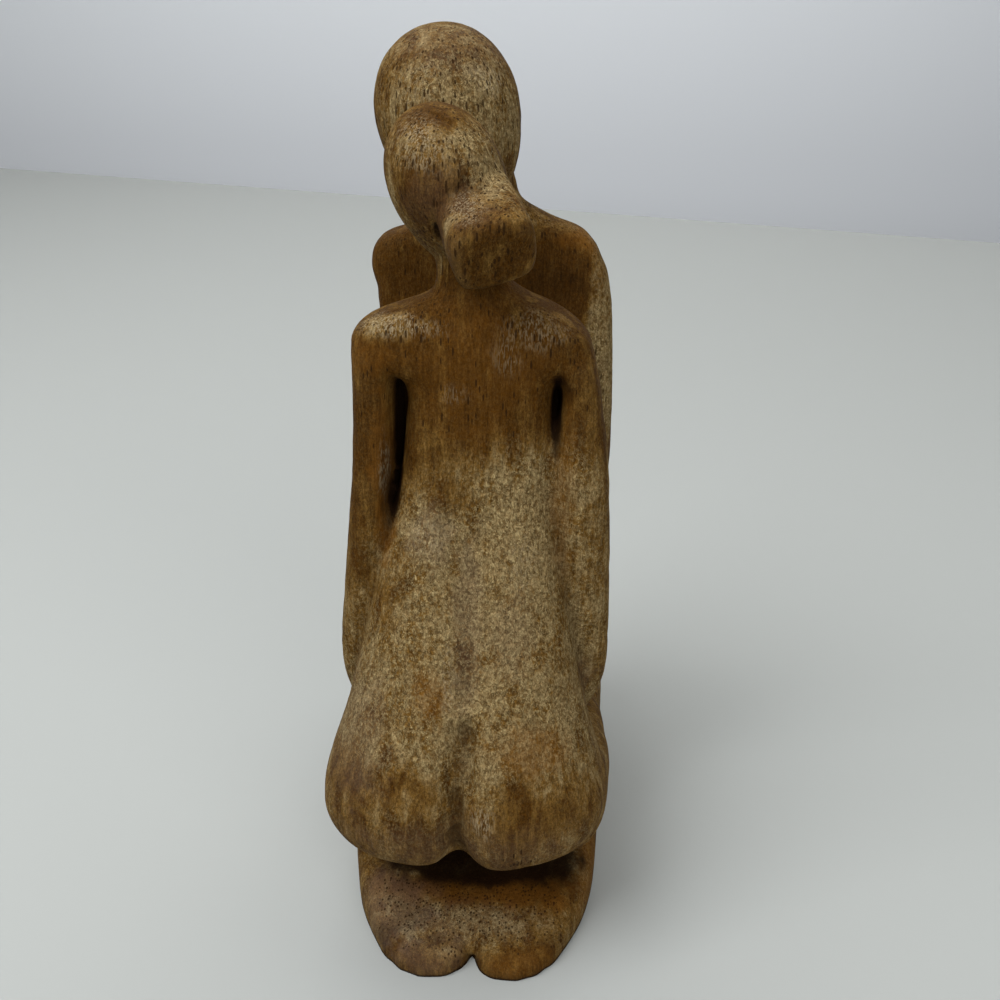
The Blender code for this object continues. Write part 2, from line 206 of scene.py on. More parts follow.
CHALK_AND_HIGHLIGHT_PATCHES = [
    (-16.5, -26, 147, 9, 5, 1.7, 1.0),  # band on her left shoulder, partly a painted highlight on its top
    (12, -26, 147, 5.5, 5, 3.4, 0.5),  # fibres on her right shoulder
    # painted highlight on the left of her head
    (-9.7, -27.6, 180.5, 5, 5, 4, 0.7),
    (-12, -25, 184, 4, 5, 3, 0.4),
    # painted highlight on his head
    (1.1, 5.6, 189.5, 3.2, 4, 2.4, 0.9),
    (-13, 2, 188, 5, 6, 5, 0.4),
    (6.7, -27, 142, 2.6, 3, 3.4, 0.4),
    (-3.6, -27.5, 133.6, 3, 3, 1.8, 0.35),
    (-1.3, -32.4, 171, 3, 4, 3, 0.7),  # painted highlight on the top of the hair knob
    (-18.2, -26.2, 115, 1.1, 3, 7, 1.2),  # scratch inside her left arm
    (-4, -42.4, 75, 1.3, 5, 9, 0.7),
    (4.1, -54, 45.5, 2.4, 4, 3.4, 0.8),
    (-9, -32, 103, 4, 4, 4, 0.5),
    (11, -33, 100, 3, 4, 8, 0.4),
]
# Dirt, and painted shade where shade falls in gaps, slits and creases and under the heads and the
# hair knob; the last rows are dark mottles on the feet
DIRT_AND_SHADE_PATCHES = [
    (1, -31, 13, 21, 7.5, 8, 1.4),  # painted shade in the gap between seat and feet
    # painted shade in the recess right of the seat
    (24, -33, 13, 8, 8, 6, 0.35),
    # painted shade low in the slit by her left arm
    (-16.4, -20, 107, 1.6, 6, 6, 1.0),
    (-6, -5, 181, 14, 6, 7, 0.3),  # painted shade where the heads touch
    (-15.8, -18, 118, 1.2, 7, 18, 1.0),  # painted shade in the slit by her left arm
    # painted shade where her left arm rounds into the slit
    (-18.3, -25, 112, 1.6, 4, 15, 0.50),
    # painted shade on the right of his chest
    (18, 16, 142, 9, 8, 10, 0.18),
    # painted shade, ragged, at the top of the slit by her right arm
    (17.5, -24, 136.5, 2.4, 4, 1.6, 0.5),
    (19.5, -25, 134, 1.2, 4, 2.4, 0.4),
    (17.4, -24, 124, 1.6, 4, 6, 0.45),
    # painted shade in the shallow valley below that slit
    (18.8, -24, 100, 1.6, 5, 18, 0.22),
    (17, -18, 129, 1.4, 6, 11, 1.0),  # painted shade in the slit by her right arm
    (0, 17, 148, 30, 9, 11, 0.26),  # painted shade on his chest, under the heads
    # painted shade on her neck
    (-1, -25, 153, 8, 8, 5, 0.28),
    # painted shade on the end of the hair knob
    (5, -36, 162, 7, 4, 6, 0.26),
    (3, -25, 158, 7, 6, 2.5, 0.35),  # painted shade under the hair knob
    # painted shadow in the crease at the hair knob's left edge
    (-6.6, -26.6, 165.5, 1.3, 2.2, 2.6, 0.5),
    # dark mottles on the feet
    (-20, -50, 5, 4, 3, 3, 0.45),
    (-13, -48, 9, 5, 4, 3, 0.35),
    (-6, -52, 6, 4, 2, 3, 0.30),
    (-17, -42, 10, 4, 3, 3, 0.25),
    (4, -53, 4, 4, 3, 2.5, 0.25),
    (20, -50, 5, 4, 3, 3, 0.3),
]
OPEN_PORES = [
    (0, -44, 9, 26, 14, 6, 1.0),  # feet
    (13, -52, 36, 7, 5, 4, 0.8),  # under the seat
    (-15, -26, 147, 9, 6, 4, 0.4),
    (13, -26, 147, 9, 6, 5, 0.4),
]

# Cuts. Rows: width, depth, how dark the painted shade in the cut is, and the points of the line. A
# negative depth is a ridge.
CUTS = [
    # The valley of her spine, and its fork
    (
        2.8,
        1.50,
        0.20,
        [(-4.5, -31, 107), (-3.4, -32.5, 101), (-0.4, -36, 90), (-0.4, -39, 83), (-0.5, -44, 71)],
    ),
    (2.2, 1.10, 0.25, [(1.5, -31, 106), (0.8, -34, 96)]),
    # The cleft of her seat
    (1.4, 1.2, 0.45, [(0.8, -46.5, 66), (1.0, -48.8, 60), (1.2, -51.5, 53)]),
    (
        2.6,
        2.2,
        0.18,
        [(-0.8, -47, 64), (-1.2, -49.5, 59), (-1.8, -52.6, 48), (-1.8, -52.5, 40), (-1.8, -50, 33)],
    ),
    (0.9, 1.2, 0.80, [(-1.8, -52.4, 51), (-1.5, -52.6, 45), (-1.8, -52.5, 40), (-1.8, -50, 33)]),
    # Around her hair knob, on her crown, and the knob's left edge
    (
        0.8,
        0.7,
        0.65,
        [(-6.9, -26.9, 164), (-6.7, -27.6, 170), (-2.1, -28.9, 174.5), (3, -28.5, 175)],
    ),
    (0.6, 0.4, 0.60, [(-8.6, -22.3, 185.6), (-6.0, -23.9, 184.8), (-4.0, -24.3, 183.8)]),
    (0.6, 0.4, 0.55, [(-5.4, -22.0, 186.2), (-3.6, -22.8, 185.4)]),
    (1.5, -0.7, 0.0, [(-2.8, -38.6, 166.3), (-3.0, -37.3, 161.3), (-1.4, -34.8, 156.6)]),
    # Between her feet
    (2.2, 3.2, 0.0, [(1.7, -55.6, 0), (1.7, -55.2, 4), (1.7, -52, 8)]),
    (1.0, 1.8, 0.8, [(1.7, -55.6, 0), (1.7, -54.6, 5)]),
]

# Stations of the figures. Rows of a stack: out, side, up, half width, half depth, squareness
HER_TORSO = [
    (35.5, -1.4, 23.4, 2, 2, 2.0),
    (35.5, -1.4, 24.6, 16, 8, 2.2),
    (35.0, -1.4, 27.6, 26.0, 15, 2.4),
    (34.5, -1.4, 32.4, 31.0, 19.2, 2.5),
    (34.0, -1.4, 39.5, 32.8, 21.0, 2.5),
    (33.3, -1.3, 48.0, 31.2, 20.8, 2.4),
    (31.3, -1.2, 60.0, 27.3, 19.0, 2.3),
    (27.3, -1.2, 75.0, 23.8, 16.0, 2.3),
    (22.5, -1.0, 95.0, 20.0, 12.2, 2.5),
    (20.2, -0.1, 110.0, 16.8, 9.6, 2.8),
    (19.4, 0.4, 124.0, 15.4, 8.5, 3.0),
    (19.2, 0.5, 134.0, 15.5, 8.4, 3.0),
    (19.2, -1.8, 138.5, 21.0, 8.4, 3.6),
    (19.3, -1.2, 141.8, 24.0, 8.2, 4.2),
    (19.3, -1.3, 144.8, 23.2, 7.8, 4.6),
    (19.2, -0.8, 147.8, 19.4, 7.3, 4.4),
    (19.0, 0.4, 150.2, 14.2, 6.9, 3.4),
    (18.8, 0.2, 152.4, 9.8, 6.8, 2.4),
    (18.6, -0.8, 154.4, 7.8, 6.8, 2.1),
    (18.2, -1.3, 157.0, 7.1, 6.8, 2.0),
    (17.0, -2.0, 161.0, 7.2, 7.1, 2.0),
    (15.0, -3.4, 167.0, 7.5, 7.5, 2.0),
    (14.5, -4.0, 171.0, 2, 2, 2.0),
]
HIS_TORSO = [
    (35.5, 1.5, 22.2, 2, 2, 2.0),
    (35.5, 1.5, 23.4, 16, 8, 2.2),
    (35.0, 1.5, 26.6, 26, 15, 2.4),
    (34.5, 1.5, 32.0, 30.4, 19.0, 2.5),
    (34.5, 1.2, 39.5, 31.6, 20.4, 2.5),
    (34.0, 1.0, 48.0, 31.2, 20.0, 2.4),
    (32.0, 1.0, 60.0, 28.0, 18.2, 2.3),
    (28.8, 1.0, 75.0, 24.4, 15.2, 2.3),
    (25.6, 1.0, 95.0, 20.8, 12.0, 2.5),
    (24.6, 1.0, 113.0, 18.4, 10.0, 2.8),
    (24.3, 1.0, 130.0, 17.4, 9.4, 3.0),
    (24.3, 1.0, 137.0, 18.0, 9.2, 3.2),
    (24.4, 0.6, 141.5, 26.0, 9.0, 4.2),
    (24.5, 0.1, 145.5, 27.6, 8.8, 5.0),
    (24.5, -0.4, 149.8, 27.2, 8.4, 5.0),
    (24.4, -0.4, 153.6, 25.2, 7.9, 4.2),
    (24.2, 1.4, 156.6, 20.2, 7.6, 3.2),
    (24.0, 1.8, 159.0, 13.4, 7.6, 2.2),
    (23.4, -0.8, 163.0, 8.6, 7.7, 2.0),
    (22.0, -2.4, 168.0, 8.1, 7.9, 2.0),
    (20.0, -4.4, 174.0, 8.2, 8.2, 2.0),
    (19.0, -5.4, 178.0, 2, 2, 2.0),
]
# The sheets of wood that join the arms to the torso in front of the grooves
HER_LEFT_WEB = [
    (18.0, -19.5, 46, 6.0, 5.2, 2.3),
    (19.0, -19.5, 75, 5.5, 6.0, 2.3),
    (18.8, -18.5, 92, 5.0, 5.4, 2.3),
    (17.8, -17.8, 103, 5.5, 5.2, 2.4),
    (15.6, -17.0, 111, 6.0, 3.8, 2.8),
    (14.5, -16.4, 117, 6.5, 3.2, 3.2),
    (14.4, -16.0, 136, 6.5, 3.1, 3.2),
    (15.4, -15.5, 143, 3.0, 2.0, 2.5),
]
HER_RIGHT_WEB = [
    (18.0, 18.5, 46, 6.0, 5.4, 2.3),
    (19.5, 19.5, 75, 6.0, 6.2, 2.3),
    (20.0, 18.6, 96, 6.0, 6.2, 2.3),
    (19.6, 17.4, 113, 6.0, 6.2, 2.3),
    (18.4, 16.8, 123, 6.0, 5.4, 2.5),
    (14.8, 16.4, 130, 6.5, 3.3, 3.2),
    (14.4, 16.0, 139, 6.5, 3.1, 3.2),
    (15.4, 15.5, 145, 3.0, 2.0, 2.5),
]
HIS_WEB = [
    (21.0, 19.5, 46, 6.0, 5.6, 2.3),
    (22.5, 20.0, 75, 6.0, 6.2, 2.3),
    (22.8, 19.4, 98, 6.0, 5.6, 2.4),
    (20.5, 18.8, 112, 6.5, 4.6, 2.8),
    (18.9, 18.6, 122, 6.8, 3.6, 3.2),
    (18.8, 18.4, 140, 6.8, 3.4, 3.2),
    (20.5, 17.5, 148, 3.0, 2.0, 2.5),
]
# Rows of a cleft: up, side, depth, width, lift of the underside
HER_CLEFT = [
    (18, -1.6, 3.6, 4.0, 2.6),
    (28, -1.6, 3.6, 4.0, 2.4),
    (36, -1.7, 2.8, 4.2, 1.0),
    (46, -2.0, 1.8, 5.0, 0),
    (60, -2.2, 1.3, 6.5, 0),
    (85, -1.6, 0.9, 7.0, 0),
    (105, -1.0, 0.4, 6.0, 0),
    (118, -0.5, 0, 6.0, 0),
]
HIS_CLEFT = [
    (18, 1.2, 3.6, 4.0, 2.6),
    (28, 1.2, 3.6, 4.0, 2.4),
    (36, 1.2, 2.8, 4.2, 1.0),
    (46, 1.0, 1.8, 5.0, 0),
    (60, 1.0, 1.2, 6.5, 0),
    (85, 1.0, 0.9, 7.0, 0),
    (110, 1.0, 0.6, 6.0, 0),
    (132, 1.0, 0, 6.0, 0),
]
# Rows of an arm: out, side, up, half depth, half width
HER_LEFT_ARM = [
    (19.5, -20.6, 145.0, 4.0, 3.0),
    (19.5, -20.8, 141.5, 7.4, 4.6),
    (19.6, -21.3, 132.0, 8.0, 4.3),
    (19.8, -21.8, 118.0, 8.0, 4.5),
    (20.2, -22.9, 108.0, 7.9, 4.3),
    (20.5, -23.7, 98.0, 7.6, 4.6),
    (20.8, -25.0, 88.0, 7.2, 4.4),
    (21.0, -26.4, 75.0, 6.4, 4.2),
    (21.0, -26.6, 64.0, 5.6, 4.2),
    (20.0, -24.6, 55.0, 4.4, 3.8),
    (18.0, -21.5, 48.0, 2.5, 2.5),
]
HER_RIGHT_ARM = [
    (19.5, 18.6, 144.0, 4.0, 3.0),
    (19.5, 19.8, 139.5, 7.6, 4.0),
    (19.6, 21.5, 132.0, 8.0, 4.1),
    (19.8, 21.9, 119.0, 8.0, 6.0),
    (20.3, 23.0, 104.0, 7.8, 6.2),
    (20.8, 24.1, 90.0, 7.2, 5.8),
    (21.0, 25.6, 76.0, 6.4, 5.1),
    (21.0, 26.4, 65.0, 5.6, 4.2),
    (20.0, 24.0, 56.0, 4.4, 3.8),
    (18.0, 20.5, 49.0, 2.5, 2.5),
]
HIS_LEFT_ARM = [
    (24.5, -21.5, 151.0, 5.0, 3.0),
    (24.5, -22.0, 147.0, 8.0, 4.7),
    (24.5, -21.8, 141.0, 8.6, 4.8),
    (24.5, -21.7, 134.0, 8.8, 4.7),
    (24.5, -22.4, 122.0, 8.8, 4.6),
    (24.6, -23.4, 105.0, 8.4, 4.6),
    (24.2, -24.8, 90.0, 7.6, 4.3),
    (23.4, -25.8, 77.0, 6.6, 4.2),
    (22.4, -25.6, 66.0, 5.8, 4.2),
    (20.5, -23.4, 57.0, 4.4, 3.8),
    (18.0, -20.0, 49.0, 2.5, 2.5),
]
HIS_RIGHT_ARM = [
    (24.5, 22.5, 151.0, 4.0, 3.0),
    (24.5, 23.6, 147.0, 7.8, 4.4),
    (24.5, 24.8, 141.0, 8.4, 4.6),
    (24.5, 25.6, 134.0, 8.8, 4.6),
    (24.5, 26.4, 122.0, 8.8, 4.7),
    (24.6, 27.0, 105.0, 8.4, 4.7),
    (24.2, 27.4, 90.0, 7.6, 4.4),
    (23.4, 27.6, 77.0, 6.6, 4.4),
    (22.4, 27.0, 66.0, 5.8, 4.4),
    (20.5, 24.4, 57.0, 4.4, 3.8),
    (18.0, 21.0, 49.0, 2.5, 2.5),
]
# Rows of a thigh, of a lower leg with its foot, and of the slab that both feet are left in:
# out, side, up, half width, half height
THIGH = [
    (42, 14.0, 40, 6, 6),
    (37, 15.5, 39, 14.5, 14),
    (26, 16.6, 35, 16.0, 14.0),
    (14, 17.2, 32.5, 15.6, 14.0),
    (5, 17.0, 31, 15.4, 13.8),
    (-2, 16.4, 30, 14.0, 13.2),
    (-7, 16.0, 30, 5, 6),
]
LOWER_LEG = [
    (-7, 16.0, 4, 5, 6),
    (-2, 16.2, 5, 14.0, 13.5),
    (8, 16.2, 4, 15.6, 15),
    (22, 15.5, 2.5, 15.4, 13.5),
    (32, 14.2, 1.8, 14.6, 11.2),
    (40, 12.2, 1.5, 13.3, 8.5),
    (46, 10.6, 1.3, 11.6, 6.5),
    (50.5, 9.2, 1.2, 9.8, 5.2),
    (54.3, 8.6, 1.1, 7.6, 4.0),
    (56.9, 8.4, 1.0, 3.2, 1.4),
]
FEET_SLAB = [
    (-5, 0, 4, 20, 9),
    (10, 0, 4, 29.0, 14.6),
    (23.7, -0.6, 2.6, 30.2, 13.0),
    (32, -0.8, 1.9, 28.4, 11.3),
    (39, -1.0, 1.6, 26.0, 9.0),
    (45, -1.0, 1.4, 22.6, 7.0),
    (49.5, -0.7, 1.2, 18.6, 5.6),
    (52.8, -0.4, 1.1, 14.4, 4.6),
    (54.8, -0.2, 1.0, 8.0, 3.2),
    (55.3, -0.2, 1.0, 3.0, 1.2),
]
# How far the lower legs and the feet are moved along side, and the thighs half as far
BASE_SHIFT = 0.8


def eased(stations, count):
    """Rows of a table of stations, read at even steps from a smooth curve through them.

    Between two stations each column is the cubic with their values at its ends, and its slope
    at a station is that of the line between the neighbours on both sides of it.
    """
    table = np.array(stations, float)
    at = np.arange(len(table), dtype=float)
    slopes = np.gradient(table, axis=0)
    where = np.linspace(0, len(table) - 1, int(count * FINER))
    low = np.minimum(where.astype(int), len(table) - 2)
    t = (where - at[low])[:, None]
    return (
        table[low] * (1 + 2 * t) * (1 - t) ** 2
        + slopes[low] * t * (1 - t) ** 2
        + table[low + 1] * t * t * (3 - 2 * t)
        + slopes[low + 1] * t * t * (t - 1)
    )


def rings(centres, first, second, half_first, half_second, squareness=2.0):
    """Superellipse rings: centre + a cos(t)^(2/n) first + b sin(t)^(2/n) second.

    The signs of cos and sin are kept, a and b are the half widths, and n is the squareness.
    """
    turn = np.linspace(0, 2 * np.pi, AROUND, endpoint=False)
    power = 2.0 / np.broadcast_to(squareness, len(centres))[:, None]
    c = np.sign(np.cos(turn)) * np.abs(np.cos(turn)) ** power
    s = np.sign(np.sin(turn)) * np.abs(np.sin(turn)) ** power
    first = np.broadcast_to(first, centres.shape)
    second = np.broadcast_to(second, centres.shape)
    return (
        centres[:, None, :]
        + (np.asarray(half_first)[:, None] * c)[:, :, None] * first[:, None, :]
        + (np.asarray(half_second)[:, None] * s)[:, :, None] * second[:, None, :]
    )


def stack(rows):
    """Level rings about a curve of centres.

    Rows: out, side, up, half width, half depth, squareness.
    """
    out, side, up, wide, deep, square = eased(rows, STACK_RINGS).T
    return rings(np.stack([out, side, up], axis=1), SIDE, OUT, wide, deep, square)


def cleft(grid, rows):
    """Presses a valley into the back of a stack.

    Out falls by depth e^(-(s / width)^2), with s the way sideways from the valley, times the
    share of the way from the middle to the back. Up rises by lift e^(-(s / (1.4 width))^2).
    """
    centre = grid.mean(axis=1)
    reach = np.maximum(np.ptp(grid[..., 0], axis=1) / 2, 0.1)[:, None]
    heights, places, depths, widths, lifts = np.array(rows, float).T
    place, depth, width, lift = (
        np.interp(centre[:, 2], heights, values)[:, None]
        for values in (places, depths, widths, lifts)
    )
    behind = np.clip((grid[..., 0] - centre[:, :1]) / reach, 0, 1)
    off = (grid[..., 1] - place) / width
    pressed = grid.copy()
    pressed[..., 0] -= depth * np.exp(-(off**2)) * behind
    pressed[..., 2] += lift * np.exp(-((off / 1.4) ** 2))
    return pressed


def egg(centre, crown, half_length, half_side, half_front, taper):
    """Rings along the line from chin to crown, with a narrower chin.

    At angle t from the chin the ring's half width is b sin(t) (1 - taper cos(t)).
    """
    crown = np.array(crown, float)
    crown /= np.linalg.norm(crown)
    level = np.cross(crown, OUT)
    level /= np.linalg.norm(level)
    front = np.cross(level, crown)
    turn = np.linspace(0.04, np.pi - 0.04, int(EGG_RINGS * FINER))
    along = -np.cos(turn)
    swell = np.sin(turn) * (1 + taper * along)
    centres = np.array(centre, float) + (half_length * along)[:, None] * crown
    return rings(centres, level, front, half_side * swell, half_front * swell)


def knob(centre, axis, half_length, half_wide, half_high, roll):
    """A stub with a flat, softly rounded end, turned by roll degrees about its axis.

    At share a of its half length its half width is b (1 - |a|^n)^(1/n), with n = KNOB_RIM.
    """
    axis = np.array(axis, float)
    axis /= np.linalg.norm(axis)
    level = np.cross(axis, UP)
    level /= np.linalg.norm(level)
    high = np.cross(level, axis)
    c, s = np.cos(np.radians(roll)), np.sin(np.radians(roll))
    level, high = c * level - s * high, s * level + c * high
    along = np.sin(np.linspace(-np.pi / 2, np.pi / 2, int(KNOB_RINGS * FINER))) * 0.999
    swell = (1 - np.abs(along) ** KNOB_RIM) ** (1 / KNOB_RIM)
    centres = np.array(centre, float) + (half_length * along)[:, None] * axis
    return rings(centres, level, high, half_wide * swell, half_high * swell, KNOB_SQUARENESS)


def limb(rows, across, square):
    """Rings square to a curve.

    Rows: out, side, up, half width square to the direction across, half width along it.
    """
    table = eased(rows, LIMB_RINGS)
    path = table[:, :3]
    along = np.gradient(path, axis=0)
    along /= np.linalg.norm(along, axis=1)[:, None]
    second = np.broadcast_to(np.array(across, float), path.shape)
    first = np.cross(second, along)
    first /= np.linalg.norm(first, axis=1)[:, None]
    second = np.cross(along, first)
    return rings(path, first, second, table[:, 3], table[:, 4], square)


def mirrored(rows):
    """The same rows on the other side of the figure."""
    return [(row[0], -row[1], *row[2:]) for row in rows]


def shifted(rows, shift):
    """The same rows moved along side."""
    return [(row[0], row[1] + shift, *row[2:]) for row in rows]


def legs():
    """Two thighs over two lower legs, which end in feet with the soles up."""
    thighs = [shifted(rows, BASE_SHIFT / 2) for rows in (THIGH, mirrored(THIGH))]
    lower_legs = [shifted(rows, BASE_SHIFT) for rows in (LOWER_LEG, mirrored(LOWER_LEG))]
    return (
        [limb(rows, UP, square=2.8) for rows in thighs]
        + [limb(rows, UP, square=3.2) for rows in lower_legs]
        + [limb(shifted(FEET_SLAB, BASE_SHIFT), UP, square=5.0)]
    )


def woman():
    """The woman's forms, with her hair in a knob at the back of her head."""
    head = egg(
        centre=(14.5, -5.0, 170.2),
        crown=(0.42, -0.46, 1.0),
        half_length=17.9,
        half_side=11.2,
        half_front=13.7,
        taper=0.16,
    )
    hair = knob(
        centre=(26.6, 1.4, 166.4),
        axis=(0.893, 0.291, -0.347),
        half_length=9.9,
        half_wide=8.0,
        half_high=7.0,
        roll=15,
    )
    return legs() + [
        cleft(stack(HER_TORSO), HER_CLEFT),
        stack(HER_LEFT_WEB),
        stack(HER_RIGHT_WEB),
        limb(HER_LEFT_ARM, SIDE, square=2.5),
        limb(HER_RIGHT_ARM, SIDE, square=2.5),
        head,
        hair,
    ]


def man():
    """The man's forms, a little taller and broader, with a bare head."""
    head = egg(
        centre=(15.8, -8.3, 179.3),
        crown=(0.15, -0.21, 1.0),
        half_length=20.9,
        half_side=15.6,
        half_front=16.3,
        taper=0.14,
    )
    return legs() + [
        cleft(stack(HIS_TORSO), HIS_CLEFT),
        stack(HIS_WEB),
        stack(shifted(mirrored(HIS_WEB), 2.0)),
        limb(HIS_LEFT_ARM, SIDE, square=2.8),
        limb(HIS_RIGHT_ARM, SIDE, square=2.8),
        head,
    ]


def mouths():
    """The one form in which both mouths meet."""
    return egg(
        centre=(0, -7.0, 170.0),
        crown=(0, -0.2, 1.0),
        half_length=6.0,
        half_side=4.6,
        half_front=4.5,
        taper=0,
    )


def placed(grid, facing):
    """Points of a form from its out, side and up. Its figure's back faces -Y or Y, as -1 or 1."""
    return np.stack([grid[..., 1] + CENTRING, facing * grid[..., 0], grid[..., 2]], axis=-1)


def skin(points, first):
    """Faces of one closed form from its grid of points: quads between rings, a fan at each end.

    Returns its corners and faces, numbered from first, turned so that they face outwards.
    """
    count, around = points.shape[:2]
    ring, place = np.meshgrid(np.arange(count - 1), np.arange(around), indexing="ij")
    after = (place + 1) % around
    low, high = ring * around, (ring + 1) * around
    quads = np.stack([low + place, low + after, high + after, high + place], axis=-1)
    quads = quads.reshape(-1, 4)
    turn = np.arange(around)
    tip, top = count * around, (count - 1) * around
    starts = np.stack([(turn + 1) % around, turn, np.full(around, tip)], axis=-1)
    ends = np.stack([top + turn, top + (turn + 1) % around, np.full(around, tip + 1)], axis=-1)
    fans = np.concatenate([starts, ends])
    corners = np.concatenate([points.reshape(-1, 3), points[[0, -1]].mean(axis=1)])
    whole = np.concatenate([quads[:, [0, 1, 2]], quads[:, [0, 2, 3]], fans])
    if np.linalg.det(corners[whole]).sum() < 0:
        quads, fans = quads[:, ::-1], fans[:, ::-1]
    return corners, (quads + first).tolist() + (fans + first).tolist()


def new_mesh(name, corners, faces):
    """A mesh in metres from corners in millimetres."""
    mesh = bpy.data.meshes.new(name)
    mesh.from_pydata(corners * MM, [], faces)
    mesh.update(calc_edges=True)
    return mesh


def forms_mesh():
    """All the forms of both figures in one mesh, and the mouths that join them."""
    grids = [placed(grid, -1) for grid in woman()] + [placed(grid, 1) for grid in man()]
    grids.append(placed(mouths(), 1))
    corners, faces, first = [], [], 0
    for grid in grids:
        points, made = skin(grid, first)
        corners.append(points)
        faces += made
        first += len(points)
    return new_mesh("forms", np.concatenate(corners), faces)


def worked(mesh, name, *steps):
    """The mesh with modifiers applied, each given as its kind and its settings."""
    holder = bpy.data.objects.new(name, mesh)
    bpy.context.scene.collection.objects.link(holder)
    for kind, settings in steps:
        modifier = holder.modifiers.new(kind.lower(), kind)
        for key, value in settings.items():
            setattr(modifier, key, value)
    graph = bpy.context.evaluated_depsgraph_get()
    made = bpy.data.meshes.new_from_object(holder.evaluated_get(graph))
    bpy.data.objects.remove(holder)
    made.name = name
    return made


def corners_of(mesh):
    """Corner places in millimetres, and the outward directions there."""
    places = np.empty(len(mesh.vertices) * 3)
    mesh.vertices.foreach_get("co", places)
    outward = np.empty(len(mesh.vertices) * 3, np.float32)
    mesh.vertex_normals.foreach_get("vector", outward)
    return places.reshape(-1, 3) / MM, outward.reshape(-1, 3).astype(float)


def edges_of(mesh):
    """The two corners of each edge."""
    ends = np.empty(len(mesh.edges) * 2, np.int32)
    mesh.edges.foreach_get("vertices", ends)
    return ends.reshape(-1, 2)


def step(low, high, values):
    """0 at low and before it, 1 at high and past it, and t^2 (3 - 2 t) between them."""
    t = np.clip((values - low) / (high - low), 0, 1)
    return t * t * (3 - 2 * t)


def drift(places, wavelength, seed):
    """Smooth random values from -1 to 1. A wavelength may differ along X, Y and Z.

    Random numbers lie on a lattice one wavelength apart, which repeats, and a place reads its
    eight nearest with shares t^2 (3 - 2 t).
    """
    lattice = np.random.default_rng(seed).uniform(-1, 1, (LATTICE, LATTICE, LATTICE))
    at = places / np.asarray(wavelength, float) + LATTICE_SHIFT
    low = np.floor(at).astype(int)
    t = at - low
    t = t * t * (3 - 2 * t)
    value = np.zeros(len(places))
    for corner in itertools.product((0, 1), repeat=3):
        share = np.where(corner, t, 1 - t).prod(axis=1)
        value += share * lattice[tuple(((low + corner) % LATTICE).T)]
    return value


def layered(places, layers):
    """Sum of the layers' drifts, each times its size."""
    return sum(size * drift(places, wavelength, seed) for size, wavelength, seed in layers)


def spread(values, ends, passes):
    """Values averaged with their neighbours along the edges, that many times."""
    count = np.bincount(ends.ravel(), minlength=len(values)) + 1.0
    for _ in range(passes):
        total = values + np.bincount(ends[:, 0], values[ends[:, 1]], len(values))
        total += np.bincount(ends[:, 1], values[ends[:, 0]], len(values))
        values = total / count
    return values


def nearness(places, path, width):
    """e^(-(distance to a broken line through the path's points / width)^2)."""
    nearest = np.full(len(places), np.inf)
    for start, end in itertools.pairwise(np.array(path, float)):
        along = end - start
        share = np.clip((places - start) @ along / (along @ along), 0, 1)
        off = np.linalg.norm(places - start - share[:, None] * along, axis=1)
        nearest = np.minimum(nearest, off)
    return np.exp(-((nearest / width) ** 2))


def wandered(places):
    """Places shifted by CUT_DRIFT, so that a cut's line wanders like a hand's."""
    return places + layered(places, CUT_DRIFT)[:, None]


def carve(mesh):
    """Works the skin by hand: long shallow knife flats, the unevenness of sanding, and cuts.

    Along the normal the height is SKIN_DRIFT, which fades to none over the lowest 14 mm, less
    each cut's depth times the nearness to its wandering line.
    """
    places, outward = corners_of(mesh)
    height = layered(places, SKIN_DRIFT)
    height *= step(0, 14, places[:, 2])
    near_cuts = wandered(places)
    for width, depth, _, path in CUTS:
        height -= depth * nearness(near_cuts, path, width)
    places = places + height[:, None] * outward
    mesh.vertices.foreach_set("co", (places * MM).ravel())
    mesh.update()


def floor_cutter():
    """A block under the table plane, wider than the statue, which cuts the underside flat."""
    low, high = np.array([-60, -90, -30.0]), np.array([60, 90, 0.0])
    ends = itertools.product((0, 1), repeat=3)
    corners = np.array([np.where(end, high, low) for end in ends])
    faces = [(0, 1, 3, 2), (4, 6, 7, 5), (0, 4, 5, 1), (2, 3, 7, 6), (0, 2, 6, 4), (1, 5, 7, 3)]
    cutter = bpy.data.objects.new("floor_cutter", new_mesh("floor_cutter", corners, faces))
    bpy.context.scene.collection.objects.link(cutter)
    return cutter


def triangles_in(mesh):
    """How many triangles the mesh comes to."""
    return sum(len(face.vertices) - 2 for face in mesh.polygons)


def mark(mesh, name, values):
    """Keeps a value for each corner, which the wood reads."""
    layer = mesh.attributes.new(name, "FLOAT", "POINT")
    layer.data.foreach_set("value", values.astype(np.float32))


def measure_hollows_and_crests(mesh):
    """Keeps how hollow and how crested the skin is.

    A corner's bend is how far the averaged skin around it lies outside it along its normal,
    in mm. The broad bend makes hollows, and the fine bend the other way makes crests. The wood
    darkens the hollows as painted shade with some dirt, and lightens the crests as wear.
    """
    places, outward = corners_of(mesh)
    ends = edges_of(mesh)
    near = np.stack([spread(places[:, axis], ends, NEAR_PASSES) for axis in range(3)], axis=1)
    far = np.stack([spread(near[:, axis], ends, FAR_PASSES) for axis in range(3)], axis=1)
    fine = ((near - places) * outward).sum(axis=1)
    broad = ((far - places) * outward).sum(axis=1)
    mark(mesh, "hollow", step(0.15, 1.6, spread(broad, ends, 4)))
    mark(mesh, "crest", step(0.05, 0.5, spread(-fine, ends, 3)))


def patches(places, rows, rough=0.45, torn=1.0):
    """Sum of ragged oval patches. Rows: centre x, y, z, half sizes x, y, z, strength.

    In half sizes, a patch is full inside 1 - rough and gone outside 1 + rough. PATCH_DRIFT
    times torn shifts that edge, so torn is how ragged it is.
    """
    ragged = torn * layered(places, PATCH_DRIFT)
    total = np.zeros(len(places))
    for row in rows:
        off = np.linalg.norm((places - row[:3]) / row[3:6], axis=1)
        total += row[6] * step(1 + rough, 1 - rough, off + ragged)
    return total


